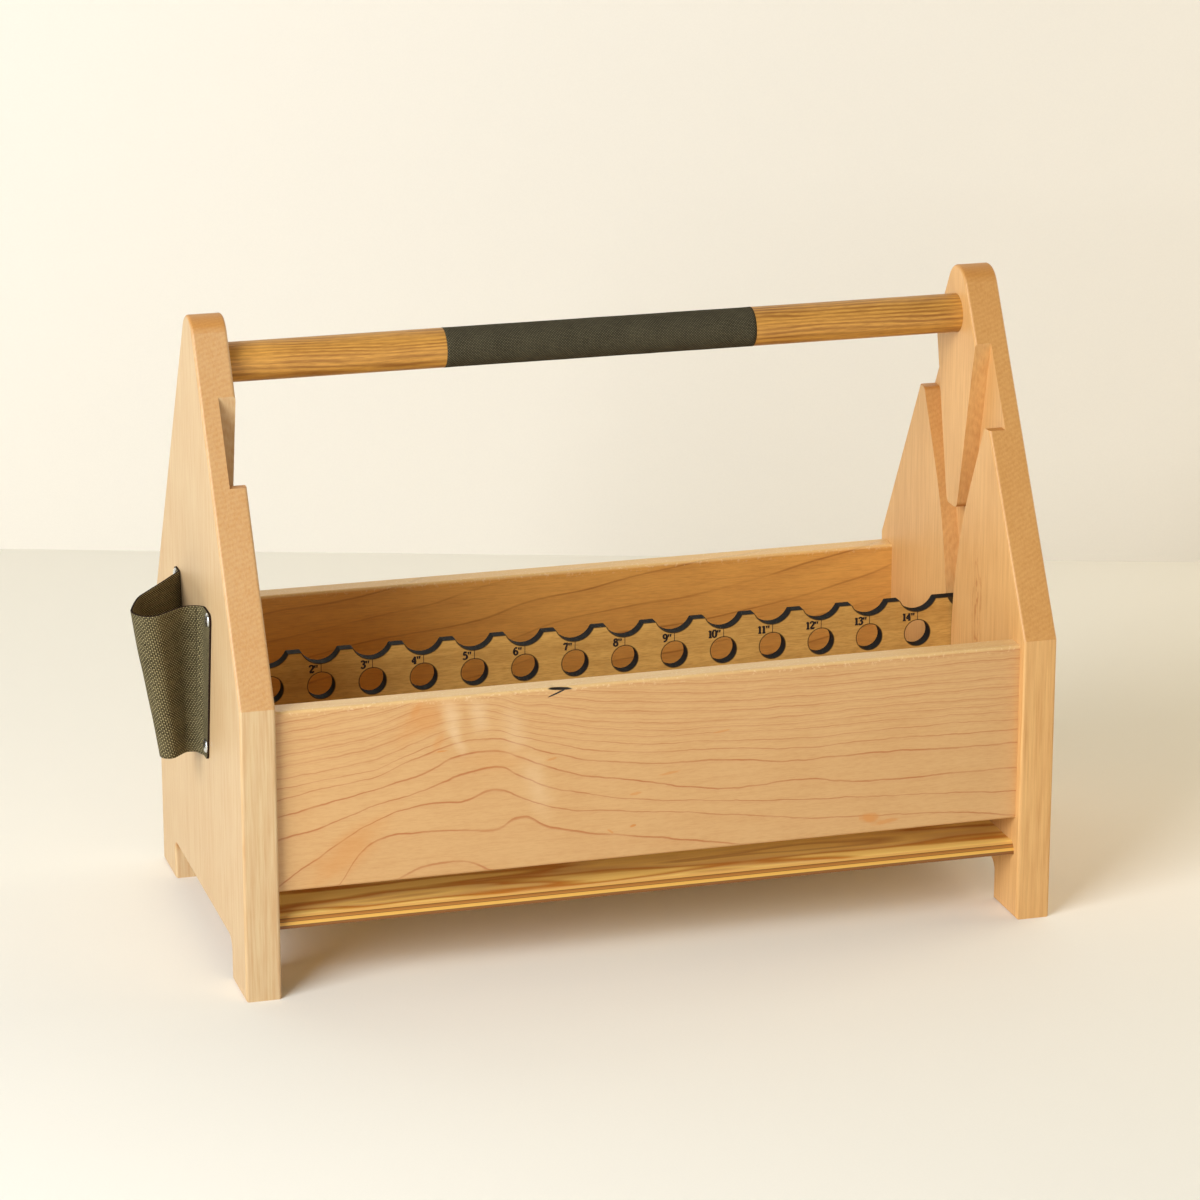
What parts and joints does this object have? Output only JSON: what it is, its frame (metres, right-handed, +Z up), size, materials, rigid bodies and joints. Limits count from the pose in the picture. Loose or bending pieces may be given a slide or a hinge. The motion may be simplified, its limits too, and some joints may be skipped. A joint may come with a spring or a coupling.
{
  "type": "garden tool caddy",
  "caption": "Wooden garden tool caddy with a round handle, a lift-out scalloped planting ruler in branching end channels, and a canvas tool pocket.",
  "frame": {"origin": "on the floor under the middle of the whole object's bounding box", "axes": "+X runs along the handle away from the pocket, +Y from the front board to the back board, +Z up"},
  "size_m": [0.4346, 0.203, 0.305],
  "materials": {
    "solid_wood": "oiled pale hardwood",
    "plywood": "oiled plywood with visible plies",
    "dowel_wood": "oiled open-grained dowel",
    "ruler_wood": "laser-cut plywood with scorched edges",
    "pocket_canvas": "heavy olive twill canvas",
    "grip_canvas": "dark olive twill canvas",
    "screw_metal": "bright zinc plate"
  },
  "bodies": {
    "caddy": {"left_end_panel": "solid_wood", "right_end_panel": "solid_wood", "front_board": "solid_wood", "back_board": "solid_wood", "bottom_panel": "plywood", "handle_dowel": "dowel_wood", "handle_grip": "grip_canvas", "tool_pocket": "pocket_canvas", "pocket_screws": "screw_metal"},
    "ruler": {"planting_ruler": "ruler_wood"}
  },
  "joints": [
    {"name": "ruler_lift", "type": "slide", "parent": "caddy", "child": "ruler", "axis": [0, 0, 1], "range_m": [0, 0.045]}
  ]
}
